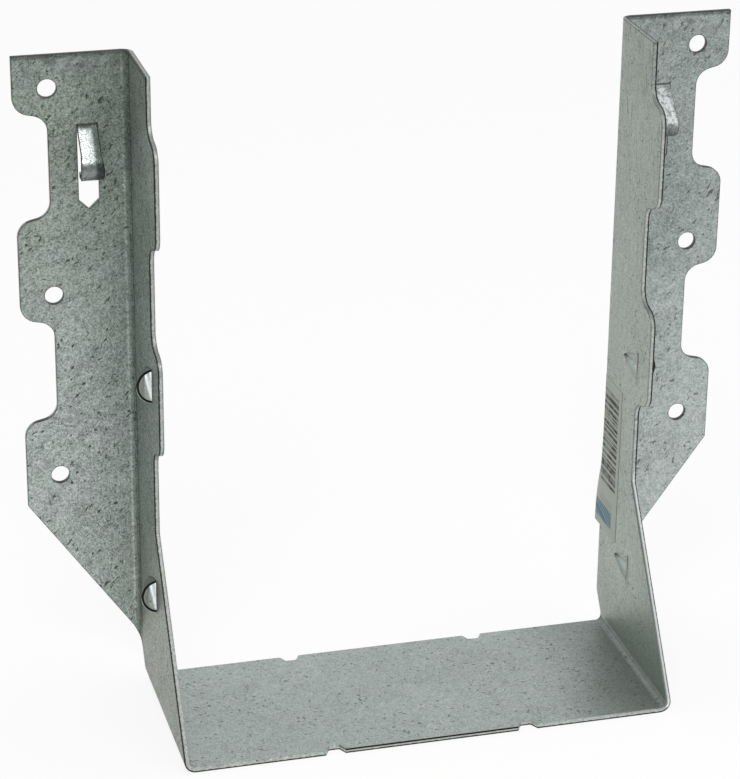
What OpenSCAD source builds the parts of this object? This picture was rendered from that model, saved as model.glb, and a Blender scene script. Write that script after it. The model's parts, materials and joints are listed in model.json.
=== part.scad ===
// Face-mount joist hanger with double-shear nail guides, folded from one strip
// of galvanised steel sheet, and the paper label stuck inside it.
//
// X runs across the joist, Y from the joist towards the header, and Z up.
// Sizes along Y are measured from the header face, which is the back of the two
// face flanges, and heights from the underside of the seat. The finished part
// is then moved along Y, so that its footprint is centred.

/* [Overall size] */
// Clear width between the side flanges, which takes the joist
joist_w = 117.5; // [90:0.5:200]
// Height from the underside of the seat to the top edge
height = 158.75; // [130:0.25:260]
// Depth from the header face to the front edge of the seat
depth = 54; // [42:0.5:80]

/* [Sheet] */
// Thickness of the sheet
sheet_t = 1.2; // [0.8:0.1:1.8]
// Inside radius of every fold
fold_r = 1.6; // [0.8:0.1:2.8]

/* [Flanges] */
// Width of a face flange, from the outside of the side flange to its tabs' edge
flange_w = 26.5; // [23:0.5:40]
// Depth of a side flange between its tabs
side_w = 22.9; // [20:0.1:28]
// How far the tabs stand out from the edge between them
tab_reach = 7.85; // [6.6:0.05:9]
// Length of a tab, and of the gap between two tabs
tab_len = 25.2; // [20:0.1:32]
// Length of the top tab of a face flange
top_tab_len = 14; // [12:0.5:20]
// Least length of the lowest tab of a face flange
low_tab_min = 16; // [14:0.5:20]
// Slope of a tab's ends, in degrees, which narrows the tab towards its edge
tab_draft = 12; // [8:1:25]
// Radius of the curves at a tab's ends
tab_r = 4.1; // [1:0.1:4.5]
// Height at which both flanges start to narrow down towards the seat
taper_z = 47.2; // [40:0.1:60]

/* [Seat] */
// Distance from the header face to the rear edge of the seat
seat_setback = 7; // [4:0.5:12]
// Height above the seat at which the front taper would meet the front edge
toe_rise = 1.1; // [0:0.1:6]
// Radius of the corner where the front taper meets the front edge
toe_r = 5; // [1:0.5:8]
// Distance of the edge notches from the middle of the seat
notch_x = 23.7; // [10:0.1:35]
// Width of an edge notch at its mouth
notch_mouth_w = 4.8; // [4:0.1:8]
// Width of an edge notch at its bottom
notch_base_w = 2.6; // [1.5:0.1:3.9]
// Depth of an edge notch
notch_depth = 2.1; // [1:0.1:3.5]
// Radius of the corners of an edge notch
notch_r = 0.6; // [0.2:0.1:0.7]

/* [Header nail holes] */
// Diameter of the header nail holes
nail_d = 4.4; // [3:0.1:6]
// Distance of the nail holes from the tabs' edge
nail_edge = 8; // [6:0.1:10]
// Distance of the top nail hole from the top edge
nail_from_top = 7.85; // [5:0.05:10]
// Height of a middle nail hole above the lower end of its tab
nail_above_step = 6.35; // [5:0.05:12]
// Height of the lowest nail hole above the start of the taper
nail_above_taper = 7.55; // [4:0.05:10]

/* [Double-shear nail guides] */
// Width of a guide's mouth on the outer face of the side flange
guide_w = 8.6; // [7.6:0.1:10]
// How far a guide bulges from the side flange
guide_bulge = 3.6; // [2.5:0.1:3.8]
// Length of a guide along its axis, from its mouth to its tail
guide_len = 11; // [8:0.5:13]
// Thickness of the drawn sheet in a guide
guide_t = 0.6; // [0.4:0.05:1]
// Angle, in degrees, at which a guide tapers from its mouth
guide_taper = 12; // [4:1:16]
// How far the mouths lie behind the side flange's edge between its tabs
guide_inset = 0.1; // [0:0.1:3]
// Height of the upper left guide above the lower end of its tab
guide_above_step = 15.65; // [13:0.05:18]
// Height of the lower left guide above the seat
guide_above_seat = 29.3; // [20:0.1:32]
// How much lower the right guides lie, so that crossing nails miss each other
guide_stagger = 7.5; // [6:0.1:10]

/* [Pierced prongs] */
// Width of a prong
prong_w = 4.6; // [3:0.1:6]
// Clearance between a prong and each side of the slot that it was cut from
prong_gap = 0.1; // [0.05:0.05:0.5]
// Length of a prong before it was bent out of its slot
prong_len = 20.6; // [19.5:0.1:26]
// Length of a prong's point
prong_tip = 2.3; // [1:0.1:4]
// Distance of a prong's root from the top edge
prong_from_top = 16.75; // [14:0.05:22]
// Distance of a prong's centre line from the outside of the side flange
prong_x = 9.55; // [7:0.05:10.5]
// Angle, in degrees, that a prong leans forward from the flange
prong_lean = 43; // [30:1:46]
// Length of a prong's straight leaning part
prong_leg = 7.9; // [6:0.05:8.2]
// Inside radius of the bend at a prong's root
prong_root_r = 1.4; // [1:0.1:3]
// How far each edge of a prong swells at the bend of its nose
prong_swell = 0.4; // [0.1:0.05:0.6]
// Inside radius of the bend at a prong's nose
prong_nose_r = 2.2; // [1.5:0.1:2.6]

/* [Label] */
// Width of the label along the side flange
label_w = 15; // [10:0.5:18]
// Height of the label
label_h = 41; // [20:0.5:43]
// Thickness of the label
label_t = 0.12; // [0.08:0.01:0.3]
// Radius of the label's corners
label_r = 1.5; // [0.5:0.1:3]
// Distance from the header face to the label's front edge
label_y = 14; // [11:0.5:15]
// Height of the label's lower edge above the seat
label_rise = 25; // [24.5:0.5:27]

/* [Hidden] */
$fn = 96;
guide_fn = 64;
guide_tip_r = 0.2;
fold_cuts = 8;
// how far a cutting body runs past the surfaces that it cuts
clear = 0.5;
web_scale = 1.2;
// share of the thickness, from the inside of a fold, that keeps its length
neutral = 0.45;

half_w = joist_w / 2;
outer_x = half_w + sheet_t;
edge_x = outer_x + flange_w;
fold_out_r = fold_r + sheet_t;
fold_c = [outer_x + fold_r, -fold_out_r];
fold_len = PI / 2 * (fold_r + neutral * sheet_t);

// the tabs of the face flanges lie beside the gaps of the side flanges, for both
// edges are cut with one wave
first_step_z = height - top_tab_len;
tabbed_len = first_step_z - taper_z;
gap_count = 1 + floor((tabbed_len - tab_len - low_tab_min) / (2 * tab_len));
step_count = 2 * gap_count;
step_rise = tab_reach * tan(tab_draft) / 2;

// the rear edge falls in one straight line of the flat strip, across the fold
rear_run = flange_w - fold_r + fold_len + seat_setback - fold_out_r;
rear_slope = (taper_z - sheet_t) / rear_run;
rear_face_z = taper_z - rear_slope * (flange_w - fold_r);
rear_side_z = rear_face_z - rear_slope * fold_len;

nail_x = edge_x - nail_edge;
nail_heights = [
    height - nail_from_top,
    for (i = [1:1:gap_count - 1]) step_z(2 * i) + nail_above_step,
    taper_z + nail_above_taper
];

guide_r = (guide_w * guide_w / 4 + guide_bulge * guide_bulge) / (2 * guide_bulge);
guide_chord = norm([guide_r, guide_len]);
guide_arc_r = guide_chord / (2 * sin(atan2(guide_r, guide_len) - guide_taper));
guide_x = outer_x + guide_bulge - guide_r;
guide_y = guide_inset - side_w;
guide_heights = [step_z(step_count - 1) + guide_above_step, sheet_t + guide_above_seat];

// the prong's middle plane, as [y, z] from the middle of the sheet at its root:
// two bends, each where two straight stretches would meet
root_r = prong_root_r + sheet_t / 2;
nose_r = prong_nose_r + sheet_t / 2;
nose_half = (90 + prong_lean) / 2;
root_bend = [0, -root_r * tan(prong_lean / 2)];
lean_len = prong_leg + root_r * tan(prong_lean / 2) + nose_r * tan(nose_half);
nose_bend = root_bend - lean_len * [sin(prong_lean), cos(prong_lean)];
bent_len = PI / 180 * (root_r * prong_lean + 2 * nose_r * nose_half);
return_len = prong_len - prong_leg - bent_len;
tip_y = nose_bend.x + nose_r * tan(nose_half) + return_len;
prong_x_mid = outer_x + prong_x;
prong_reach = tip_y - sheet_t / 2;

footprint_y = (depth - max(prong_reach, 0)) / 2;

// height of the middle of a step in the wavy edge, counted from the top
function step_z(i) = first_step_z - i * tab_len;

// corners of the wavy edge from the top down, as it goes between a and b
function wavy_edge(a, b) = [
    for (i = [0:step_count - 1], end = [0, 1])
        [(i + end) % 2 == 0 ? a : b, step_z(i) + (1 - 2 * end) * step_rise, tab_r]
];

// height of the rear edge at a share of the way round the fold
function rear_z_in_fold(share) = rear_face_z - rear_slope * fold_len * share;

function backwards(list) = [for (i = [len(list) - 1:-1:0]) list[i]];
function flat(p) = [p.x, p.y];
function unit(v) = v / norm(v);

// an outline of straight edges, given anticlockwise as [x, y, corner radius]
module rounded_outline(corners) {
    n = len(corners);
    spots = [for (c = corners) flat(c)];
    turns = [for (i = [0:n - 1]) cross(spots[i] - spots[(i + n - 1) % n], spots[(i + 1) % n] - spots[i])];
    difference() {
        union() {
            polygon(spots);
            for (i = [0:n - 1])
                if (corners[i][2] > 0 && turns[i] < 0)
                    corner_web(spots[i], spots[(i + n - 1) % n], spots[(i + 1) % n], corners[i][2]);
        }
        for (i = [0:n - 1])
            if (corners[i][2] > 0 && turns[i] > 0)
                corner_web(spots[i], spots[(i + n - 1) % n], spots[(i + 1) % n], corners[i][2]);
    }
}

// the sharp part of a corner that lies outside the circle which rounds it, drawn
// a little past the corner's two edges
module corner_web(corner, before, after, r) {
    u = unit(before - corner);
    v = unit(after - corner);
    half_angle = acos(u * v) / 2;
    centre = corner + unit(u + v) * r / sin(half_angle);
    rim = [corner + u * r / tan(half_angle), corner, corner + v * r / tan(half_angle)];
    difference() {
        polygon([centre, for (p = rim) centre + (p - centre) * web_scale]);
        translate(centre)
            circle(r);
    }
}

// a body whose outline is drawn in the plane of Y and Z
module along_x(from, to) {
    translate([from, 0, 0])
        rotate([90, 0, 90])
            linear_extrude(to - from)
                children();
}

// a body whose outline is drawn in the plane of X and Z
module along_y(from, to) {
    translate([0, to, 0])
        rotate([90, 0, 0])
            linear_extrude(to - from)
                children();
}

// seat and side flanges as one folded channel, before their edges are cut
module channel() {
    along_y(-depth, -fold_out_r)
        difference() {
            rounded_outline([
                [-outer_x, 0, fold_out_r],
                [outer_x, 0, fold_out_r],
                [outer_x, height, 0],
                [-outer_x, height, 0]
            ]);
            rounded_outline([
                [-half_w, sheet_t, fold_r],
                [half_w, sheet_t, fold_r],
                [half_w, height + clear, 0],
                [-half_w, height + clear, 0]
            ]);
        }
}

// outline of the channel from the side
module side_outline() {
    rounded_outline([
        [-seat_setback, -toe_r, 0],
        [-seat_setback, sheet_t, 0],
        [-fold_out_r, rear_side_z, 0],
        [-fold_out_r, height, 0],
        [-side_w, height, 0],
        each wavy_edge(-side_w, -side_w - tab_reach),
        [-side_w, taper_z, 0],
        [-depth, sheet_t + toe_rise, toe_r],
        [-depth, -toe_r, 0]
    ]);
}

// a notch in the seat's edge, drawn with its mouth towards +Y
module seat_notch() {
    translate([0, 0, -clear])
        linear_extrude(sheet_t + 2 * clear)
            rounded_outline([
                [-notch_base_w / 2, -notch_depth, notch_r],
                [notch_base_w / 2, -notch_depth, notch_r],
                [notch_mouth_w / 2, 0, 0],
                [notch_mouth_w / 2, clear, 0],
                [-notch_mouth_w / 2, clear, 0],
                [-notch_mouth_w / 2, 0, 0]
            ]);
}

// right fold between side flange and face flange, with its sloping lower edge
module header_fold() {
    difference() {
        translate(fold_c)
            linear_extrude(height)
                intersection() {
                    difference() {
                        circle(fold_out_r);
                        circle(fold_r);
                    }
                    translate([-fold_out_r, 0])
                        square(fold_out_r);
                }
        translate(fold_c)
            fold_relief();
    }
}

// body under the fold's lower edge, which winds down round the fold
module fold_relief() {
    rings = fold_cuts + 3;
    polyhedron(
        points = [
            for (i = [-1:fold_cuts + 1])
                let (share = i / fold_cuts, out = [-sin(90 * share), cos(90 * share)])
                    for (r = [fold_r - clear, fold_out_r + clear], z = [-clear, rear_z_in_fold(share)])
                        [r * out.x, r * out.y, z]
        ],
        faces = [
            [0, 1, 3, 2],
            for (k = [0:4:4 * (rings - 2)])
                each [
                    [k, k + 4, k + 5, k + 1],
                    [k + 2, k + 3, k + 7, k + 6],
                    [k, k + 2, k + 6, k + 4],
                    [k + 1, k + 5, k + 3],
                    [k + 3, k + 5, k + 7]
                ],
            [4 * rings - 4, 4 * rings - 2, 4 * rings - 1, 4 * rings - 3]
        ]
    );
}

// right face flange, flat, with its nail holes and the slot of its prong
module face_flange() {
    along_y(-sheet_t, 0)
        difference() {
            rounded_outline([
                [fold_c.x, height, 0],
                [fold_c.x, rear_face_z, 0],
                [edge_x, taper_z, 0],
                each backwards(wavy_edge(edge_x, edge_x - tab_reach)),
                [edge_x, height, 0]
            ]);
            for (z = nail_heights)
                translate([nail_x, z])
                    circle(d = nail_d);
            translate([prong_x_mid, height - prong_from_top])
                prong_blank(prong_w + 2 * prong_gap, prong_len + prong_gap);
        }
}

// a prong as it is cut in the flat, hanging down from its root
module prong_blank(w, len) {
    polygon([
        [-w / 2, 0],
        [-w / 2, -len + prong_tip],
        [0, -len],
        [w / 2, -len + prong_tip],
        [w / 2, 0]
    ]);
}

// a prong's outline across one view: swollen up to `from`, and its own width after `to`
module swollen(start, from, to, finish) {
    wide = prong_w / 2 + prong_swell;
    polygon([
        [-wide, start],
        [-wide, from],
        [-prong_w / 2, to],
        [-prong_w / 2, finish],
        [prong_w / 2, finish],
        [prong_w / 2, to],
        [wide, from],
        [wide, start]
    ]);
}

// right prong, bent forward and then back through its own slot
module prong() {
    t = sheet_t / 2;
    root_miter = t * tan(prong_lean / 2);
    nose_miter = t * tan(nose_half);
    nose_y = nose_bend.x + nose_r * tan(nose_half);
    translate([prong_x_mid, -t, height - prong_from_top])
        difference() {
            intersection() {
                along_x(-prong_w, prong_w)
                    rounded_outline([
                        [-t, 0, 0],
                        [-t, root_bend.y + root_miter, prong_root_r],
                        [nose_bend.x - nose_miter, nose_bend.y - t, prong_nose_r + sheet_t],
                        [tip_y, nose_bend.y - t, 0],
                        [tip_y, nose_bend.y + t, 0],
                        [nose_bend.x + nose_miter, nose_bend.y + t, prong_nose_r],
                        [t, root_bend.y - root_miter, prong_root_r + sheet_t],
                        [t, 0, 0]
                    ]);
                translate([0, tip_y + clear, 0])
                    rotate([90, 0, 0])
                        linear_extrude(prong_len)
                            swollen(-prong_len, nose_bend.y + nose_r, nose_bend.y + 2 * nose_r, clear);
                translate([0, 0, -prong_len])
                    linear_extrude(2 * prong_len)
                        swollen(-prong_len, nose_y - nose_r, nose_y, prong_len);
            }
            for (side = [0, 1])
                mirror([side, 0, 0])
                    translate([0, tip_y, nose_bend.y - sheet_t])
                        linear_extrude(2 * sheet_t)
                            polygon([
                                [0, 0],
                                [prong_w, -2 * prong_tip],
                                [prong_w, clear],
                                [0, clear]
                            ]);
        }
}

// pointed dome about the Y axis, from its mouth at the origin back to its tail,
// with the tail's very tip cut square
module ogive(shrink) {
    arc_r = guide_arc_r - shrink;
    arc_mid = [guide_r, 0] - guide_arc_r * [cos(guide_taper), sin(guide_taper)];
    tail = arc_mid.y + sqrt(arc_r * arc_r - pow(guide_tip_r - arc_mid.x, 2));
    rotate([-90, 0, 0])
        rotate_extrude($fn = guide_fn)
            intersection() {
                translate(arc_mid)
                    circle(arc_r, $fn = 2 * guide_fn);
                square([guide_r + clear, tail]);
            }
}

// places its children at the guides of one side
module at_guides(side) {
    lower = side > 0 ? guide_stagger : 0;
    for (z = guide_heights)
        translate([side * guide_x, guide_y, z - lower])
            children();
}

// the part of the guides that stands outside one side flange
module guide_shells(side) {
    intersection() {
        at_guides(side)
            ogive(0);
        translate([side > 0 ? outer_x - sheet_t / 2 : -outer_x - guide_bulge - clear, -depth, 0])
            cube([sheet_t / 2 + guide_bulge + clear, depth, height]);
    }
}

// the folded hanger
module hanger() {
    color("silver")
        translate([0, footprint_y, 0])
            difference() {
                union() {
                    intersection() {
                        channel();
                        along_x(-outer_x - clear, outer_x + clear)
                            side_outline();
                    }
                    for (side = [0, 1])
                        mirror([side, 0, 0]) {
                            header_fold();
                            face_flange();
                            prong();
                        }
                    guide_shells(-1);
                    guide_shells(1);
                }
                at_guides(-1)
                    ogive(guide_t);
                at_guides(1)
                    ogive(guide_t);
                for (side = [-1, 1]) {
                    translate([side * notch_x, -seat_setback, 0])
                        seat_notch();
                    translate([side * notch_x, -depth, 0])
                        rotate(180)
                            seat_notch();
                }
            }
}

// the label inside the right side flange
module label() {
    color("ivory")
        translate([0, footprint_y, 0])
            along_x(half_w - label_t, half_w)
                translate([-label_y, sheet_t + label_rise])
                    rounded_outline([
                        [0, 0, label_r],
                        [label_w, 0, label_r],
                        [label_w, label_h, label_r],
                        [0, label_h, label_r]
                    ]);
}

hanger();
label();
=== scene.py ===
"""Galvanised finish, label and studio for a folded joist hanger."""

import json
import math

import bpy
from bpy.props import FloatProperty, FloatVectorProperty, IntProperty, PointerProperty
from bpy.types import Operator, Panel, PropertyGroup
from mathutils import Matrix, Vector


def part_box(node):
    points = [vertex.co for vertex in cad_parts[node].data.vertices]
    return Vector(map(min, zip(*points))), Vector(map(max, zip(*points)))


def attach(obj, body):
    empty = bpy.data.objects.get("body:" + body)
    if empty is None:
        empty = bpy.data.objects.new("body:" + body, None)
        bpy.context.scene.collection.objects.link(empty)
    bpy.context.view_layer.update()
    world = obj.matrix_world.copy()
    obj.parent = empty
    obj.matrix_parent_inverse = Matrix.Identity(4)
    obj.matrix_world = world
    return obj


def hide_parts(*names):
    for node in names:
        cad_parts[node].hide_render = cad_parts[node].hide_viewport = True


bl_info = {
    "name": "Joist Hanger",
    "version": (1, 0, 0),
    "blender": (4, 5, 0),
    "location": "3D View > Sidebar > Hanger",
    "description": "Galvanised finish, label and studio for a folded joist hanger",
    "category": "Object",
}

MM = 0.001

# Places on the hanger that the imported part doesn't name, in millimetres
MOUTH_REACH = 22.8  # from the header's face forward to the mouths of the nail guides
GUIDE_OUT = 0.43  # from a side flange's inner face out to the axes of its guides
GUIDE_HEIGHTS = (84.8, 30.5)  # of the axes of the left side's guides
GUIDE_STAGGER = 7.5  # how much lower the right side's guides are
GUIDE_LENGTH = 11.5
GUIDE_RADIUS = 4.6  # outside, with a little to spare
FOLD_REACH = 2.9  # how far a fold reaches past the inner faces, with a little to spare
HEADER_REACH = 9  # how far the header fold and the prongs reach forward
NAIL_HOLE_REACH = 3  # from a nail hole's centre, past its wall
NOTCH_X = 21.4  # from the middle to the inner ends of the front notches
LABEL_FOLD = 2.8  # from the header's face forward to where the label starts to bend
LABEL_HEIGHT = 41

GRAIN_TURN = (0.35, -0.75, 0.55)  # slant of the zinc's spots and flecks, in radians
WHITE = (1.0, 1.0, 1.0)
GLOW_SHARE = 0.84  # how much of the floor is plain white where it is seen; the rest takes the shadow
SENSOR_MM = 36

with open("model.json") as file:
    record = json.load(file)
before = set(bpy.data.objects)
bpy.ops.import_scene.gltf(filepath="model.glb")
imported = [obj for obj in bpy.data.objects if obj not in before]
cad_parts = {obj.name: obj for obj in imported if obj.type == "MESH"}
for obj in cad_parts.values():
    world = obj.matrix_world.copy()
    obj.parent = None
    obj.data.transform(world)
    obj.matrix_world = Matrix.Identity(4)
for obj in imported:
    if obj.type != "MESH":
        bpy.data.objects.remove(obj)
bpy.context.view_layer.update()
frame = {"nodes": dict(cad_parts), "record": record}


def tone(red, green, blue):
    """A colour given as 0 to 255 on screen, as the shader's linear colour."""
    return tuple(
        c / 12.92 if c <= 0.04045 else ((c + 0.055) / 1.055) ** 2.4
        for c in (red / 255, green / 255, blue / 255)
    )


def planes():
    """The hanger's own planes and lines, in millimetres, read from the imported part."""
    mounts = {mount["name"]: mount for mount in frame["record"]["mounts"]}
    header = mounts["left_flange_back"]["pos_m"][1] / MM
    nail_rows = mounts["header_nails"]
    middle = nail_rows["pos_m"][2] / MM
    rise = nail_rows["dims"]["spacing_y_mm"] / 2
    return {
        "header_y": header,
        "sheet": mounts["joist_seat"]["pos_m"][2] / MM,
        "inner_x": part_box("label")[1][0] / MM,
        "top_z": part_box("hanger")[1][2] / MM,
        "nail_x": nail_rows["dims"]["spacing_x_mm"] / 2,
        "nails": (middle - rise, mounts["header_nails_middle"]["pos_m"][2] / MM, middle + rise),
        "mouth_y": header - MOUTH_REACH,
    }


# --- Settings --------------------------------------------------------------


def colour(name, description, default):
    """A colour that a user may change."""
    return FloatVectorProperty(
        name=name, description=description, subtype="COLOR", size=3, min=0, max=1, default=default
    )


def length(name, description, default_mm):
    """A length that a user may change, with its default in millimetres."""
    return FloatProperty(name=name, description=description, unit="LENGTH", default=default_mm * MM, min=0)


class ZincSettings(PropertyGroup):
    """Colours and sizes of the zinc coat, with the colours of its painted light and shade."""

    pale: colour("Pale zinc", "Colour of the palest zinc", tone(222, 232, 226))
    grey: colour("Grey zinc", "Colour of the dull zinc between the pale grains", tone(84, 98, 89))
    fleck_and_shade: colour("Fleck", "Colour of the dark flecks, and of the painted shade in the seat's corner, the inner folds and on the prongs", tone(56, 68, 62))
    warm: colour("Low warm zinc", "Colour of the zinc low on the outer sides, and of the painted shade deep in the left guides' hollows", tone(112, 113, 98))
    bright: colour("Painted highlight", "Colour of the painted highlights and painted light on the prongs, edges and guides", tone(244, 250, 251))
    cut: colour("Cut edge", "Colour of the sheared edges of the sheet", tone(200, 204, 200))
    shadow: colour("Broken edge and shadow", "Colour of the rough half of the sheared edges, and of the painted shadows on edges, rims, mouths and holes", tone(36, 40, 36))
    grime_and_shade: colour("Stain and shade line", "Colour of the stains and dark lines on the sheet, and of the painted shade along the arrises and in the prongs' root creases", tone(58, 60, 54))
    mossy: colour("Green cast", "Cast of the zinc on the upper left", (0.98, 1.0, 0.955))
    sandy: colour("Warm cast", "Cast of the zinc inside the side flanges", (0.995, 0.975, 0.955))
    bluish: colour("Blue cast", "Painted cast of the light on the seat and on the right", (0.975, 0.955, 1.0))
    grain: length("Grain", "Size of the fine grain of the zinc", 0.55)
    mottle: length("Mottle", "Size of the pale and dull spots", 1.3)
    patch: length("Patch", "Size of the patches that the spots gather in", 4)
    cloud: length("Cloud", "Size of the broad clouds in the zinc", 26)
    fleck_size: length("Fleck size", "Width of one of the dark flecks", 0.9)
    edge_round: length("Edge rounding", "Radius of the worn arrises", 0.42)
    fold: length("Fold", "Inside radius of the folds", 1.6)
    prong_x: length("Prong", "Distance of the prongs' centre lines from the middle", 69.5)
    prong_root: length("Prong root", "Distance of the prongs' roots from the top edge", 17.2)


class LabelSettings(PropertyGroup):
    """Sizes and colours of the label."""

    paper: colour("Paper", "Colour of the coated paper, greyed by painted shade", tone(165, 172, 161))
    ink: colour("Bars", "Colour of the printed bars", tone(10, 11, 10))
    blue: colour("Blue field", "Colour of the printed field", tone(46, 104, 122))
    thickness: length("Thickness", "Thickness of the paper", 0.12)
    hug: length("Hug", "Radius at which the upper end of the label follows the fold", 2.95)
    rows: IntProperty(name="Rows", description="Strips of the label up its height", default=20, min=4)
    hinges: IntProperty(name="Hinges", description="Bends of each strip at the fold", default=8, min=2)


class StudioSettings(PropertyGroup):
    """Camera, lights and floor."""

    focal: FloatProperty(
        name="Focal length", description="Focal length of the camera", unit="CAMERA", default=131.57, min=10
    )
    azimuth: FloatProperty(
        name="Azimuth",
        description="Turn of the camera round the hanger, from its front",
        subtype="ANGLE",
        default=math.radians(-15.35),
    )
    elevation: FloatProperty(
        name="Elevation",
        description="Height of the camera above the horizon, as an angle",
        subtype="ANGLE",
        default=math.radians(23.32),
    )
    roll: FloatProperty(
        name="Roll",
        description="Turn of the camera about its own axis",
        subtype="ANGLE",
        default=math.radians(0.64),
    )
    camera: FloatVectorProperty(
        name="Camera",
        description="Place of the camera",
        subtype="XYZ",
        unit="LENGTH",
        size=3,
        default=(-0.17066, -0.58891, 0.34381),
    )
    floor: colour("Floor", "Colour of the floor", (0.86, 0.86, 0.86))
    dim: FloatProperty(
        name="Open front", description="Level of the open front of the light tent", default=0.28, min=0
    )
    key_power: FloatProperty(
        name="Key light", description="Power of the large soft light", unit="POWER", default=3.2
    )
    fill_power: FloatProperty(
        name="Fill light", description="Power of the side light", unit="POWER", default=1.2
    )


# --- Shader building -------------------------------------------------------


class Wire:
    """One output of a shader node. Sums with wires and numbers add Math nodes."""

    def __init__(self, finish, socket):
        self.finish = finish
        self.socket = socket

    def math(self, operation, first, second=None):
        """Adds a Math node."""
        inputs = {0: first} if second is None else {0: first, 1: second}
        return self.finish.node("ShaderNodeMath", {"operation": operation}, inputs)

    def __add__(self, other):
        return self.math("ADD", self, other)

    __radd__ = __add__

    def __sub__(self, other):
        return self.math("SUBTRACT", self, other)

    def __rsub__(self, other):
        return self.math("SUBTRACT", other, self)

    def __mul__(self, other):
        return self.math("MULTIPLY", self, other)

    __rmul__ = __mul__

    def __abs__(self):
        return self.math("ABSOLUTE", self)

    def __gt__(self, other):
        return self.math("GREATER_THAN", self, other)

    def __lt__(self, other):
        return self.math("LESS_THAN", self, other)

    def root(self):
        """The square root."""
        return self.math("SQRT", self)

    def lowest(self, other):
        """The lower of two."""
        return self.math("MINIMUM", self, other)

    def highest(self, other):
        """The higher of two."""
        return self.math("MAXIMUM", self, other)


class Finish:
    """A material or world and its nodes."""

    def __init__(self, owner):
        owner.use_nodes = True
        self.owner = owner
        self.tree = owner.node_tree
        self.tree.nodes.clear()

    def node(self, kind, settings=None, inputs=None, output=0):
        """Adds a node, sets it up, fills or links its sockets, and gives one of its outputs."""
        node = self.tree.nodes.new(kind)
        for key, value in (settings or {}).items():
            setattr(node, key, value)
        for key, value in (inputs or {}).items():
            socket = node.inputs[key]
            if isinstance(value, Wire):
                self.tree.links.new(value.socket, socket)
            elif hasattr(value, "__len__") and socket.type == "RGBA" and len(value) == 3:
                socket.default_value = (*value, 1)
            else:
                socket.default_value = value
        return Wire(self, node.outputs[output]) if node.outputs else None

    def place_mm(self):
        """Object coordinates in millimetres."""
        raw = self.node("ShaderNodeTexCoord", output="Object")
        return self.node("ShaderNodeVectorMath", {"operation": "SCALE"}, {0: raw, "Scale": 1 / MM})

    def parts(self, vector):
        """The three parts of a vector."""
        return [self.node("ShaderNodeSeparateXYZ", inputs={0: vector}, output=axis) for axis in "XYZ"]

    def stretched(self, place, turn, stretch):
        """Place turned and squeezed, so that a pattern on it comes out long."""
        by_angles = {"rotation_type": "EULER_XYZ"}
        turned = self.node("ShaderNodeVectorRotate", by_angles, {"Vector": place, "Rotation": turn})
        return self.node("ShaderNodeVectorMath", {"operation": "MULTIPLY"}, {0: turned, 1: stretch})

    def noise(self, place, size, detail=2.0, roughness=0.5, distortion=0.0):
        """Smooth noise from 0 to 1 with the given size in millimetres."""
        return self.node(
            "ShaderNodeTexNoise",
            inputs={
                "Vector": place,
                "Scale": 1 / size,
                "Detail": detail,
                "Roughness": roughness,
                "Distortion": distortion,
            },
        )

    def ease(self, value, low, high, to_low=0.0, to_high=1.0):
        """Goes smoothly from to_low to to_high as the value goes from low to high."""
        return self.node(
            "ShaderNodeMapRange",
            {"interpolation_type": "SMOOTHSTEP", "clamp": True},
            {"Value": value, "From Min": low, "From Max": high, "To Min": to_low, "To Max": to_high},
        )

    def blend(self, amount, first, second, how="MIX"):
        """Mixes two colours."""
        return self.node(
            "ShaderNodeMix",
            {"data_type": "RGBA", "blend_type": how, "clamp_factor": True},
            {0: amount, 6: first, 7: second},
            output=2,
        )

    def finish(self, **inputs):
        """Ends the material with its shader."""
        sockets = {name.replace("_", " "): value for name, value in inputs.items()}
        shader = self.node("ShaderNodeBsdfPrincipled", inputs=sockets)
        self.node("ShaderNodeOutputMaterial", inputs={"Surface": shader})
        return self.owner


# --- Galvanised steel ------------------------------------------------------


class Sheet(Finish):
    """The hanger's material, with the places, directions and masks that its patterns share."""

    def __init__(self, settings, part):
        super().__init__(bpy.data.materials.new("galvanised steel"))
        self.settings = settings
        self.part = part
        self.place = self.place_mm()
        self.x, self.y, self.z = self.parts(self.place)
        self.depth = abs(self.x) - part["inner_x"]
        self.behind = self.y - part["header_y"]
        self.normal = self.node("ShaderNodeNewGeometry", output="True Normal")
        self.across, self.along, self.up = self.parts(self.normal)

        # which face of the sheet it is: outer or inner, of a side flange, or the front of a face flange
        self.on_right = self.x > 0
        self.on_left = self.x < 0
        self.right = self.ease(self.x, -20, 20)
        self.outward = self.across * (self.on_right * 2 - 1)
        self.outside = self.ease(self.outward - self.along - self.up, -0.3, 0.3)
        self.side = self.ease(abs(self.across), 0.6, 0.9)
        self.front = self.ease(self.along, -0.6, -0.9)

        # distance from the axis of the nearest nail guide, and its parts out from the flange and up
        high, low = GUIDE_HEIGHTS
        level = self.z + self.on_right * GUIDE_STAGGER
        self.rise = level - low - (level > (high + low) / 2) * (high - low)
        self.wide = self.depth - GUIDE_OUT
        self.radius = (self.wide * self.wide + self.rise * self.rise).root()
        self.guided = (self.y > part["mouth_y"] - 0.05) * (self.y < part["mouth_y"] + GUIDE_LENGTH)


def sheared_faces(sheet):
    """Marks the faces that the shears left through the thickness of the sheet."""
    nx, ny, nz = abs(sheet.across), abs(sheet.along), abs(sheet.up)
    thick = sheet.part["sheet"]
    header = sheet.behind > -HEADER_REACH
    off_sheet = (sheet.behind < -thick - 0.03).highest(sheet.behind > 0.03)
    prong = off_sheet * (sheet.depth > FOLD_REACH) * header
    flange = (sheet.depth > FOLD_REACH - 0.05) * (1 - prong) * header
    rest = (1 - flange) * (1 - prong)
    low = (sheet.z < thick + FOLD_REACH) * rest
    bend = (sheet.behind > -FOLD_REACH) * (1 - low) * rest
    guide = (sheet.radius < GUIDE_RADIUS) * sheet.guided * (1 - bend) * rest
    side = (1 - low) * (1 - bend) * (1 - guide) * rest
    return (
        prong * (nx > 0.6)
        + flange * (ny < 0.6)
        + low * (ny > 0.45)
        + bend * (nz > 0.45)
        + guide * (ny > 0.93)
        + side * (nx < 0.6)
    )


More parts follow.
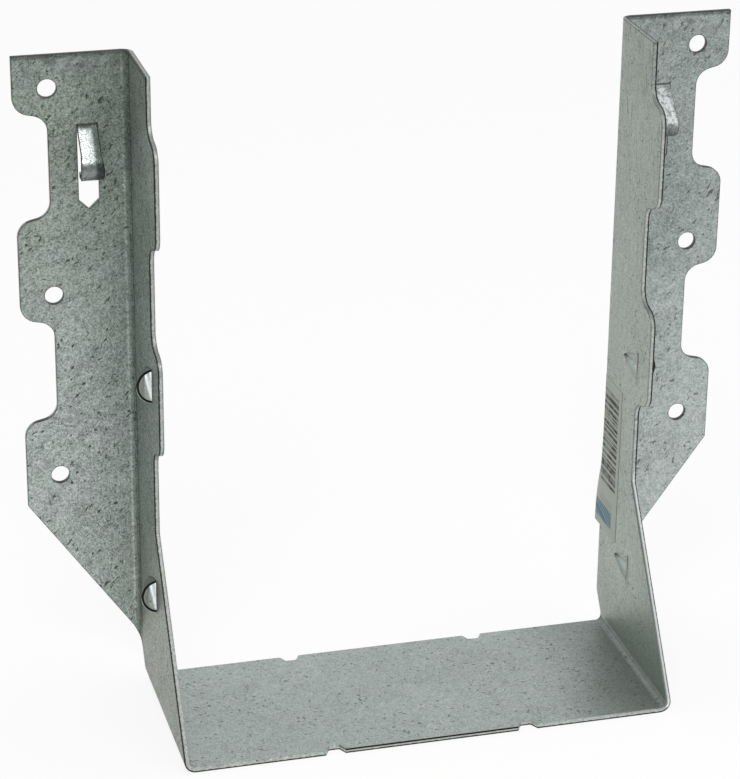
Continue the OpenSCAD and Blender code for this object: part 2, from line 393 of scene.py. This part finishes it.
def through_sheet(sheet):
    """How far through the sheet a sheared face's point is: 0 at the inner face, 1 at the outer one."""
    thick = sheet.part["sheet"]
    fold = sheet.settings.fold / MM
    beside = (sheet.depth + fold).highest(0)
    below = (thick + fold - sheet.z).highest(0)
    through = ((beside * beside + below * below).root() - fold) * (1 / thick)
    flange = (sheet.depth > FOLD_REACH) * (sheet.z > thick + fold) * (sheet.behind > -HEADER_REACH)
    return through * (1 - flange) - sheet.behind * (1 / thick) * flange, flange


def cut_edge(sheet, plain):
    """Sheared faces: bright where the shear entered at the inner face, dark where the sheet broke off and
    deepened by painted shade along the outer arris, with painted highlights and painted shadows in places.
    """
    settings, part, z, up = sheet.settings, sheet.part, sheet.z, sheet.up
    torn = sheet.noise(sheet.place, 0.7, detail=2, roughness=0.6)
    shade = sheet.blend(sheet.ease(torn, 0.3, 0.75) * 0.5, settings.cut, settings.grey)
    # small painted highlights on the torn parts of the cut face
    shade = sheet.blend(sheet.ease(torn, 0.6, 0.7) * 0.7, shade, settings.bright)

    # on the right the zinc is drawn over the edge at the top, and a painted highlight lies along the taper
    through, flange = through_sheet(sheet)
    drawn_in = sheet.ease(z, 140, 146) * sheet.on_right
    shade = sheet.blend(drawn_in * 0.85, shade, plain)
    right_side = sheet.on_right * (z > part["sheet"] + 0.05)
    tapered = right_side * sheet.ease(z, 52, 46)
    below_tabs = right_side * sheet.ease(z, 72, 67)
    shade = sheet.blend((below_tabs - tapered) * 0.75, shade, plain)
    shade = sheet.blend(tapered * 0.8, shade, settings.bright)
    # where the sheet broke off the cut is dark, deepened by painted shade along the outer arris
    broken_and_shaded = sheet.ease(through + (torn - 0.5) * 0.25 - tapered * 0.12 - 0.7, -0.05, 0.05)
    shade = sheet.blend(broken_and_shaded * 0.95, shade, settings.shadow)
    entry = sheet.ease(abs(through - 0.14), 0.1, 0.03) * sheet.ease(z, 14, 45) * (1 - drawn_in)
    shade = sheet.blend(entry * 0.6, shade, settings.grime_and_shade)

    # the entry side is dull on the seat and along the taper, with a painted shadow under a deep burr between
    # the front notches
    seat = z < part["sheet"] + 0.05
    first = sheet.ease(through + (torn - 0.5) * 0.15, 0.42, 0.34)
    shade = sheet.blend(first * seat * 0.9, shade, plain)
    between_notches = (abs(sheet.x) < NOTCH_X) * (sheet.y < 0)
    shade = sheet.blend(first * seat * between_notches, shade, settings.shadow)
    shade = sheet.blend(first * tapered * 0.8, shade, settings.grey)

    # the rims of the guides lie in painted shadow, apart from a lit line low on their outer edge
    rim = sheet.guided * (sheet.radius < GUIDE_RADIUS) * (1 - flange)
    shade = sheet.blend(rim, shade, settings.cut)
    lit = sheet.ease(sheet.radius, 4.2, 4.3) * sheet.ease(sheet.rise, 0.5, -1)
    shade = sheet.blend(rim * (1 - lit), shade, settings.shadow)

    # the walls of the nail holes and the top edges of the face flanges lie in shadow
    wide = abs(sheet.x) - part["nail_x"]
    highs = [z - nail_z for nail_z in part["nails"]]
    holes = sum(wide * wide + high * high < NAIL_HOLE_REACH**2 for high in highs)
    top = sheet.ease(up, 0.8, 0.95) * (sheet.depth > 1.25) * 0.9
    shade = sheet.blend(sheet.ease(up, 0.4, 0.75) * 0.4, shade, settings.grime_and_shade)
    return sheet.blend(top.highest(holes * 0.75), shade, settings.shadow)


def zinc_grain(sheet):
    """Fine grain, spots and clouds of the zinc: the fine part, the broad part and the level of both."""
    settings, place, outside = sheet.settings, sheet.place, sheet.outside
    slanted = sheet.stretched(place, GRAIN_TURN, (1.0, 1.0, 0.62))
    dust = sheet.noise(place, settings.grain * 0.55 / MM, detail=1)
    grain = sheet.noise(place, settings.grain / MM, detail=1)
    mottle = sheet.noise(slanted, settings.mottle / MM, detail=2)
    patch = sheet.noise(slanted, settings.patch / MM, detail=2)
    cloud = sheet.noise(place, settings.cloud / MM, detail=2)
    fine = (dust - 0.5) * 1.5 + (grain - 0.5) * 1.5 + (mottle - 0.5) * 0.8
    broad = (patch - 0.5) * 0.45 + (cloud - 0.5) * 0.7

    # the grain is coarse on the outer faces, and painted light makes the face flanges paler towards their
    # lower ends
    right, left = sheet.right, 1 - sheet.right
    gain = 0.3 + outside * (0.34 + sheet.side * left * 0.35 - sheet.front * right * 0.2)
    paler = left * sheet.ease(sheet.z, 142, 75) * 0.15 + right * sheet.ease(sheet.z, 120, 40) * 0.17
    return fine, broad, fine * gain + broad * (outside * 0.3 + 0.22) + 0.43 + sheet.front * paler


def zinc_colour(sheet, level):
    """Dull to pale zinc, with a green, warm or blue cast from face to face."""
    settings = sheet.settings
    shade = sheet.blend(level, settings.grey, settings.pale)
    hue = sheet.noise(sheet.place, 11, detail=3, roughness=0.6)
    green = sheet.ease(hue, 0.4, 0.56) * 0.5 + sheet.ease(sheet.z, 60, 130) * 0.5
    cast = sheet.blend(green * sheet.outside, settings.bluish, settings.mossy)
    cast = sheet.blend((1 - sheet.outside) * sheet.side, cast, settings.sandy)
    # painted light: a blue cast on the upward faces and on the right front
    cool = (sheet.front * sheet.right).highest(sheet.ease(sheet.up, 0.6, 0.9))
    cast = sheet.blend(cool * 0.85, cast, settings.bluish)
    return sheet.blend(1.0, shade, cast, "MULTIPLY")


def zinc_marks(sheet, shade):
    """Drawn streaks and scratches on the sides, dark flecks, and fine wandering cracks."""
    settings, place, outside = sheet.settings, sheet.place, sheet.outside
    drawn = sheet.noise(sheet.stretched(place, (0, 0, 0), (1.4, 1.4, 0.05)), 1.1, detail=2)
    shade = sheet.blend(sheet.ease(drawn, 0.4, 0.75) * sheet.side * 0.12, shade, settings.grey)
    scratch = sheet.noise(sheet.stretched(place, (0.1, 0, 0), (1.5, 1.5, 0.14)), 1.0, detail=1)
    inner_right = sheet.ease(sheet.z, 112, 140) * sheet.right * sheet.side * (1 - outside)
    shade = sheet.blend(sheet.ease(scratch, 0.39, 0.34) * inner_right * 0.4, shade, settings.fleck_and_shade)

    # long flecks on the outer faces, and round ones on the inner faces
    dashed = sheet.stretched(place, GRAIN_TURN, (1.0, 1.0, 0.55))
    dashes = sheet.noise(dashed, settings.fleck_size / MM, detail=1, distortion=0.4)
    dots = sheet.noise(place, settings.fleck_size / MM, detail=1, roughness=0.4)
    specks = dashes * outside + dots * (1 - outside)
    crowd = sheet.noise(place, 9, detail=2)
    flecks = sheet.ease(specks + (crowd - 0.5) * 0.25, 0.34, 0.26)
    shade = sheet.blend(flecks * (outside * (0.3 - sheet.right * 0.2) + 0.5), shade, settings.fleck_and_shade)

    wander = sheet.noise(place, 9, detail=3, roughness=0.6)
    where = sheet.noise(place, 17, detail=1)
    cracks = sheet.ease(abs(wander - 0.5), 0.005, 0.0) * sheet.ease(where, 0.56, 0.64)
    return sheet.blend(cracks * 0.5, shade, settings.fleck_and_shade), flecks, cracks


def zinc_stains(sheet, shade):
    """Stains under the top edges, painted shade in the right corner of the seat, and outer sides that grow
    darker and warmer towards the bottom.
    """
    settings, part, outside, z = sheet.settings, sheet.part, sheet.outside, sheet.z
    top = part["top_z"]
    stain = sheet.noise(sheet.place, 2.2, detail=3, roughness=0.65)
    stained = sheet.ease(z, top - 9, top) * sheet.ease(stain, 0.5, 0.66) * outside
    shade = sheet.blend(stained * 0.5, shade, settings.grime_and_shade)
    # painted shade in the right corner of the seat, strongest on its upward faces
    from_corner = (part["inner_x"] - sheet.x).highest(z - part["sheet"])
    corner = sheet.ease(from_corner, 30, 2) * sheet.on_right * (z < 32)
    shade = sheet.blend(corner * sheet.ease(sheet.up, 0.3, 0.9, 0.16, 0.38), shade, settings.fleck_and_shade)
    # the outer sides grow darker and warmer towards the bottom
    low_sides = sheet.ease(z, 78, 10) * outside * sheet.side
    shade = sheet.blend(low_sides * 0.6, shade, settings.warm)
    lip = sheet.ease(z, top - 1.1, top - 0.5) * outside
    return sheet.blend(lip * 0.5, shade, settings.grime_and_shade)


def fold_marks(sheet, shade):
    """Painted shade over the outer left fold and in the inner folds, and a dark line where the header fold
    runs into the side.
    """
    settings, outside = sheet.settings, sheet.outside
    tilt = abs(sheet.across)
    turned = sheet.ease(tilt, 0.15, 0.45) * sheet.ease(tilt, 0.98, 0.8)
    # painted shade dulls the highlight on the outer fold on the left
    outer = turned * outside * sheet.on_left * sheet.ease(sheet.z, 90, 40, 0.55, 0.65)
    shade = sheet.blend(outer, shade, settings.grey)
    # painted shade in the inner folds
    inner = turned * (1 - outside) * (sheet.up > 0.1) * sheet.ease(sheet.up, 0.8, 0.55, 0.25, 0.6)
    shade = sheet.blend(inner, shade, settings.fleck_and_shade)
    fold_line = sheet.ease(abs(sheet.behind + 3.1), 0.5, 0.15) * outside * sheet.side
    return sheet.blend(fold_line * 0.7, shade, settings.grime_and_shade)


def guide_marks(sheet, shade):
    """Painted light in the guides' hollows, painted shade deep in the left ones, and a painted shadow line
    at the mouths on the right.
    """
    settings, depth, radius = sheet.settings, sheet.depth, sheet.radius
    inward = sheet.outward * sheet.wide + sheet.up * sheet.rise < 0
    hollow = sheet.guided * (radius < GUIDE_RADIUS) * inward * (depth > 0.03) * (sheet.along > -0.93)
    # painted light over the shaded hollows of the right guides
    tinged = sheet.blend(1.0, settings.bright, settings.mossy, "MULTIPLY")
    shade = sheet.blend(hollow * sheet.on_right * 0.5, shade, tinged)
    # a painted shadow line at the mouths of the right guides
    mouth = sheet.ease(abs(sheet.y - sheet.part["mouth_y"] + 0.35), 0.85, 0.35)
    mouth = mouth * (abs(sheet.rise) < 4.2) * (radius < 5) * sheet.ease(sheet.rise, -4.5, 2, 0.25, 1)
    mouth = mouth * (depth < 0.5) * sheet.on_right * (1 - sheet.outside)
    shade = sheet.blend(mouth * 0.7, shade, settings.shadow)
    # in the left hollows, painted shade where they are deep and painted light where they are shallow
    left_hollow = hollow * sheet.on_left
    shade = sheet.blend(left_hollow * sheet.ease(depth, 2.0, 3.0) * 0.6, shade, settings.warm)
    return sheet.blend(left_hollow * sheet.ease(depth, 1.7, 1.0), shade, settings.bright)


def prong_marks(sheet, shade, level):
    """Painted highlight streak, dents, and painted shade beside the streak, on the nose and in the root
    crease of each prong, with its sheen and its crown.
    """
    settings, right = sheet.settings, sheet.on_right
    thick = sheet.part["sheet"]
    beside = abs(sheet.x) - settings.prong_x / MM
    off_middle = abs(beside)
    prong = sheet.ease(sheet.behind, -thick - 0.05, -thick - 0.9) * (off_middle < 3.2)
    below_root = sheet.z - sheet.part["top_z"] + settings.prong_root / MM

    # a painted highlight runs down the left part of each prong, and painted shade lies on the part that
    # turns away
    streak = beside * (right * 2 - 1) + right * below_root * 0.25
    streak = sheet.ease(streak, 1.3, 0.1).highest(right * 0.45)
    shade = sheet.blend(prong * (1 - streak) * 0.62, shade, settings.fleck_and_shade)
    sheen = prong * streak
    shade = sheet.blend(sheen * (level * 0.9 + 0.4 - right * 0.1), shade, settings.bright)
    dents = sheet.ease(sheet.noise(sheet.place, 0.8, detail=1), 0.5, 0.62)
    shade = sheet.blend(prong * dents * (right * 0.3 + 0.28), shade, settings.grey)
    # painted shade on the nose, where the prong turns down
    nose = sheet.ease(below_root + right * 1.5, -6.0, -7.8)
    shade = sheet.blend(prong * nose * (right * 0.1 + 0.66), shade, settings.fleck_and_shade)
    # painted shade in the crease at the prong's root
    crease = sheet.ease(abs(below_root) * (right * 1.6 + 1), 0.75, 0.35) * sheet.ease(off_middle, 2.7, 2.2)
    crown = (1 - off_middle * off_middle * (1 / 5.3)) * prong
    return sheet.blend(crease * 0.75, shade, settings.grime_and_shade), sheen, crown


def galvanised_steel(settings, part):
    """Zinc-coated sheet: fine grey grain with dark flecks, rounded arrises with a line of painted shade,
    sheared edges, and painted light and shade on the folds, guides and prongs.
    """
    sheet = Sheet(settings, part)
    fine, broad, level = zinc_grain(sheet)
    shade = zinc_colour(sheet, level)
    shade, flecks, cracks = zinc_marks(sheet, shade)
    shade = zinc_stains(sheet, shade)
    shade = fold_marks(sheet, shade)
    shade = guide_marks(sheet, shade)
    shade, sheen, crown = prong_marks(sheet, shade, level)

    # a painted shade line follows the rounded arrises in patches, apart from the guides' mouths and the
    # seat's top face
    rounded = sheet.node("ShaderNodeBevel", {"samples": 6}, {"Radius": settings.edge_round})
    dot_product = {"operation": "DOT_PRODUCT"}
    facing = sheet.node("ShaderNodeVectorMath", dot_product, {0: rounded, 1: sheet.normal}, output="Value")
    mouths = (sheet.depth < 0.6) * sheet.guided * (sheet.radius < 5)
    seat = (sheet.z < part["sheet"] + 0.1) * (sheet.z > part["sheet"] - 0.1) * (sheet.up > 0.9)
    arris = sheet.ease(facing, 0.997, 0.96) * (1 - (mouths + seat).lowest(1))
    sheared = sheared_faces(sheet)
    shade = sheet.blend(sheared, shade, cut_edge(sheet, shade))
    patchy = sheet.ease(sheet.noise(sheet.place, 5, detail=2), 0.2, 0.45)
    shade = sheet.blend(arris * (1 - sheared) * patchy * 0.85, shade, settings.grime_and_shade)

    rough = 0.46 + (0.43 - level) * 0.2 + flecks * 0.12 - sheen * 0.1
    height = (fine * 0.5 + broad * 0.3) * (sheet.outside * 0.6 + 0.5) - flecks * 0.7 - cracks * 0.6
    height = height * (1 - sheared * 0.6) + crown * 1.5
    bump = sheet.node(
        "ShaderNodeBump", inputs={"Strength": 0.75, "Distance": 0.00012, "Height": height, "Normal": rounded}
    )
    return sheet.finish(Base_Color=shade, Metallic=0.88, Roughness=rough, Normal=bump)


class HANGER_OT_steel(Operator):
    """Gives the folded sheet its zinc coat"""

    bl_idname = "hanger.steel"
    bl_label = "Zinc coat"

    def execute(self, context):
        sheet = frame["nodes"]["hanger"]
        coat = galvanised_steel(context.scene.hanger_zinc, planes())
        for slot in sheet.material_slots:
            slot.material = coat
        return {"FINISHED"}


# --- Label -----------------------------------------------------------------


def label_paper(settings):
    """Coated paper with plain bars and a field of colour."""
    paper = Finish(bpy.data.materials.new("label paper"))
    across, up, _ = paper.parts(paper.node("ShaderNodeTexCoord", output="UV"))
    fibre = paper.noise(paper.place_mm(), 0.6, detail=3, roughness=0.6)
    cloud = paper.noise(paper.place_mm(), 9, detail=2)
    facing, _, _ = paper.parts(paper.node("ShaderNodeNewGeometry", output="True Normal"))
    front = facing < 0.1
    mottled = paper.ease(fibre * 0.5 + cloud * 0.5, 0.35, 0.65) * 0.35
    # the paper takes the grey it shows in the flange's shade, as painted shade, mottled by its fibre
    shade = paper.blend(mottled, settings.paper, tone(142, 148, 136))

    def between(value, low, high, soft=0.01):
        """1 from low to high, with soft borders."""
        return paper.ease(value, low, low + soft) * paper.ease(value, high, high - soft)

    # bars of two widths, worn in places, which fade out towards the label's upper end
    drawn_up = paper.node("ShaderNodeCombineXYZ", inputs={"Y": up * LABEL_HEIGHT})
    thick = paper.noise(drawn_up, 0.85, detail=0)
    thin = paper.noise(drawn_up, 0.42, detail=0)
    patchy = paper.ease(paper.noise(paper.place_mm(), 2.5, detail=2), 0.4, 0.6, 0.55, 1)
    bars = paper.ease(thick, 0.48, 0.51).highest(paper.ease(thin, 0.55, 0.59) * 0.7) * patchy
    top_fade = paper.ease(up, 0.985, 0.875)
    block = paper.ease(up, 0.295, 0.305) * top_fade
    block = block * paper.ease(across, 0.1, 0.12) * paper.ease(across, 0.84, 0.81)
    shade = paper.blend(bars * block * front, shade, settings.ink)
    beside = between(across, 0.86, 0.96, 0.02) * paper.ease(up, 0.4, 0.5) * top_fade
    shade = paper.blend(beside * front * 0.3, shade, settings.blue)

    # a faint grey band below the bars, and a field of blue with pale slanted stripes below that
    band = between(up, 0.165, 0.225) * between(across, 0.2, 0.8, 0.02)
    shade = paper.blend(band * front * 0.14, shade, settings.ink)
    field = between(up, 0.045, 0.165) * between(across, 0.22, 0.985, 0.02)
    slanted = paper.node("ShaderNodeCombineXYZ", inputs={"X": up * LABEL_HEIGHT - across * 5})
    stripe = paper.ease(paper.noise(slanted, 0.55, detail=0), 0.57, 0.5, 0.35, 0.95)
    shade = paper.blend(field * front * stripe, shade, settings.blue)

    bump = paper.node("ShaderNodeBump", inputs={"Strength": 0.2, "Distance": 0.00005, "Height": fibre})
    return paper.finish(Base_Color=shade, Roughness=0.6, Normal=bump)


class HANGER_OT_label(Operator):
    """Sticks the label inside the right side flange, with its lower end loose at the fold"""

    bl_idname = "hanger.label"
    bl_label = "Label"

    def execute(self, context):
        settings = context.scene.hanger_label
        part = planes()
        low, high = [Vector(corner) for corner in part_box("label")]
        header = part["header_y"] * MM
        fold_start = header - LABEL_FOLD * MM
        free = high.y - fold_start
        step = free / settings.hinges
        columns = round((fold_start - low.y) / step)

        bpy.ops.object.select_all(action="DESELECT")
        bpy.ops.mesh.primitive_grid_add(
            x_subdivisions=columns + settings.hinges,
            y_subdivisions=settings.rows,
            size=1,
            location=(high.x, (low.y + high.y) / 2, (low.z + high.z) / 2),
            rotation=(math.radians(90), 0, math.radians(90)),
        )
        label = context.object
        label.name = label.data.name = "label_paper"
        label.scale = (high.y - low.y, high.z - low.z, 1)
        bpy.ops.object.transform_apply(location=True, rotation=True, scale=True)

        # each strip is rolled over hinge after hinge, less and less towards the lower end
        mesh = label.data
        rise = high.z - low.z
        start = [vertex.co.copy() for vertex in mesh.vertices]
        for row in range(settings.rows + 1):
            height = low.z + rise * row / settings.rows
            hold = min(1.0, max(0.0, (row / settings.rows - 0.05) / 0.8))
            turn = step / settings.hug * hold * hold * (3 - 2 * hold)
            if turn < 1e-4:
                continue
            hinge = Vector((high.x, fold_start, height))
            heading = 0.0
            for count in range(settings.hinges):
                behind = fold_start + count * step
                bpy.ops.object.mode_set(mode="EDIT")
                bpy.ops.mesh.select_mode(type="VERT")
                bpy.ops.mesh.select_all(action="DESELECT")
                bpy.ops.object.mode_set(mode="OBJECT")
                for vertex, first in zip(mesh.vertices, start):
                    vertex.select = abs(first.z - height) < 1e-6 and first.y > behind + step / 2
                bpy.ops.object.mode_set(mode="EDIT")
                bpy.ops.transform.rotate(value=turn, orient_axis="Z", center_override=hinge)
                heading += turn
                hinge += Vector((math.sin(heading), math.cos(heading), 0)) * step
        bpy.ops.object.mode_set(mode="OBJECT")

        solidify = label.modifiers.new("paper", "SOLIDIFY")
        solidify.thickness = settings.thickness
        solidify.offset = -1
        bpy.ops.object.modifier_apply(modifier=solidify.name)
        bpy.ops.object.shade_smooth_by_angle(angle=math.radians(40))
        mesh.materials.append(label_paper(settings))
        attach(label, "root")
        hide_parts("label")
        return {"FINISHED"}


# --- Studio ----------------------------------------------------------------


def floor_finish(settings):
    """White floor that keeps shadows and dims towards the open front of the light tent."""
    sweep = Finish(bpy.data.materials.new("floor"))
    x, y, _ = sweep.parts(sweep.node("ShaderNodeTexCoord", output="Object"))
    front = sweep.ease(y + x * 0.8, -0.6, -0.2).highest(sweep.ease(x, 0.05, 0.25))
    lit = front * sweep.ease(x, -0.6, -0.1)
    rays = ("Camera", "Glossy", "Transmission")
    camera, glossy, through = [sweep.node("ShaderNodeLightPath", output=f"Is {ray} Ray") for ray in rays]
    lit = lit.highest(camera)
    dim = (settings.dim,) * 3
    glow = sweep.node("ShaderNodeEmission", inputs={"Color": sweep.blend(lit, dim, WHITE), "Strength": 1.0})
    matt = sweep.node("ShaderNodeBsdfDiffuse", inputs={"Color": sweep.blend(lit, dim, settings.floor)})
    seen = (camera + glossy + through).lowest(1.0)
    mix = sweep.node("ShaderNodeMixShader", inputs={0: seen * GLOW_SHARE, 1: matt, 2: glow})
    sweep.node("ShaderNodeOutputMaterial", inputs={"Surface": mix})
    return sweep.owner


def soft_light(name, place, target, width, height, power):
    """A rectangular soft light at a place, facing a target."""
    bpy.ops.object.light_add(type="AREA", location=place)
    lamp = bpy.context.object
    lamp.name = lamp.data.name = name
    lamp.rotation_euler = (Vector(target) - Vector(place)).to_track_quat("-Z", "Y").to_euler()
    lamp.data.shape = "RECTANGLE"
    lamp.data.size = width
    lamp.data.size_y = height
    lamp.data.energy = power
    return lamp


class HANGER_OT_studio(Operator):
    """Sets the floor, the soft lights, the sky and the camera"""

    bl_idname = "hanger.studio"
    bl_label = "Studio"

    def execute(self, context):
        settings = context.scene.hanger_studio
        scene = context.scene

        bpy.ops.object.select_all(action="DESELECT")
        bpy.ops.mesh.primitive_plane_add(size=4, location=(0, 0.6, 0))
        floor = context.object
        floor.name = floor.data.name = "floor"
        bpy.ops.object.transform_apply(location=True, rotation=False, scale=False)
        floor.data.materials.append(floor_finish(settings))

        middle = (0, 0, 0.07)
        soft_light("key light", (-0.22, -0.5, 0.75), middle, 0.4, 0.3, settings.key_power)
        soft_light("fill light", (0.9, 0.2, 0.6), middle, 0.6, 0.6, settings.fill_power)

        sky = Finish(scene.world or bpy.data.worlds.new("sky"))
        scene.world = sky.owner
        x, y, _ = sky.parts(sky.node("ShaderNodeTexCoord", output="Generated"))
        bright = sky.ease(y, -0.5, 0.35).highest(sky.ease(x, 0.05, 0.5))
        bright = bright.highest(sky.node("ShaderNodeLightPath", output="Is Camera Ray"))
        glow = sky.blend(bright, (settings.dim,) * 3, WHITE)
        background = sky.node("ShaderNodeBackground", inputs={"Color": glow, "Strength": 1.0})
        sky.node("ShaderNodeOutputWorld", inputs={"Surface": background})

        azimuth, elevation = settings.azimuth, settings.elevation
        flat = Vector((math.sin(azimuth), -math.cos(azimuth), 0))
        back = flat * math.cos(elevation) + Vector((0, 0, math.sin(elevation)))
        level = Vector((math.cos(azimuth), math.sin(azimuth), 0))
        upright = Matrix((level, back.cross(level), back)).transposed()
        turned = upright @ Matrix.Rotation(settings.roll, 3, "Z")
        bpy.ops.object.camera_add(location=settings.camera, rotation=turned.to_euler())
        camera = context.object
        camera.name = camera.data.name = "camera"
        camera.data.lens = settings.focal
        camera.data.sensor_width = SENSOR_MM
        camera.data.clip_start = 0.01
        scene.camera = camera
        scene.view_settings.view_transform = "Standard"
        return {"FINISHED"}


# --- Panel and registration ------------------------------------------------


class HANGER_PT_panel(Panel):
    """Lists the hanger's steps and settings"""

    bl_idname = "HANGER_PT_panel"
    bl_label = "Joist hanger"
    bl_space_type = "VIEW_3D"
    bl_region_type = "UI"
    bl_category = "Hanger"

    def draw(self, context):
        for step, group in STEPS:
            column = self.layout.column()
            column.operator(step.bl_idname)
            settings = getattr(context.scene, group)
            for key in settings.__annotations__:
                column.prop(settings, key)


STEPS = (
    (HANGER_OT_studio, "hanger_studio"),
    (HANGER_OT_steel, "hanger_zinc"),
    (HANGER_OT_label, "hanger_label"),
)
GROUPS = {"hanger_zinc": ZincSettings, "hanger_label": LabelSettings, "hanger_studio": StudioSettings}
CLASSES = (*GROUPS.values(), *(step for step, _ in STEPS), HANGER_PT_panel)


def register():
    """Registers the settings, the steps and the panel."""
    for cls in CLASSES:
        bpy.utils.register_class(cls)
    for key, group in GROUPS.items():
        setattr(bpy.types.Scene, key, PointerProperty(type=group))


def unregister():
    """Takes back what register did."""
    for key in GROUPS:
        delattr(bpy.types.Scene, key)
    for cls in reversed(CLASSES):
        bpy.utils.unregister_class(cls)


def main():
    """Makes the hanger's finish, its label and the studio."""
    register()
    bpy.ops.hanger.studio()
    bpy.ops.hanger.steel()
    bpy.ops.hanger.label()


if __name__ == "__main__":
    main()
